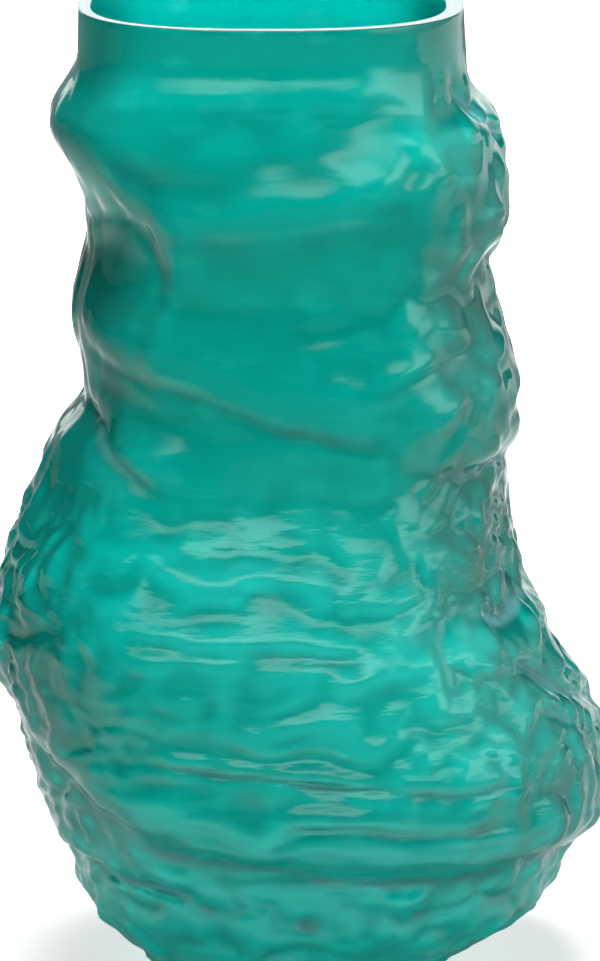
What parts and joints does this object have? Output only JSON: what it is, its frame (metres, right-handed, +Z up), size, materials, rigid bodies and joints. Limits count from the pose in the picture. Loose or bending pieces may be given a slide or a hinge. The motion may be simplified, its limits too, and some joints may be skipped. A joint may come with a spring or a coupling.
{
  "type": "glass vase",
  "caption": "Tall hand blown glass vase with a folded, slumped body, a straight collar and a flat cut rim, made of a clear casing over a thin teal layer.",
  "frame": {"origin": "middle of the flat ground base, on the table", "axes": "+Z up to the rim, -Y the front seen in the picture, +X the right-hand side seen from the front"},
  "size_m": [0.2128, 0.1953, 0.338],
  "materials": {
    "clear_glass": "fire-polished, with a ground and polished rim and base",
    "teal_glass": "fire-polished"
  },
  "bodies": {
    "root": {"clear_casing": "clear_glass", "colour_layer": "teal_glass"}
  },
  "joints": []
}
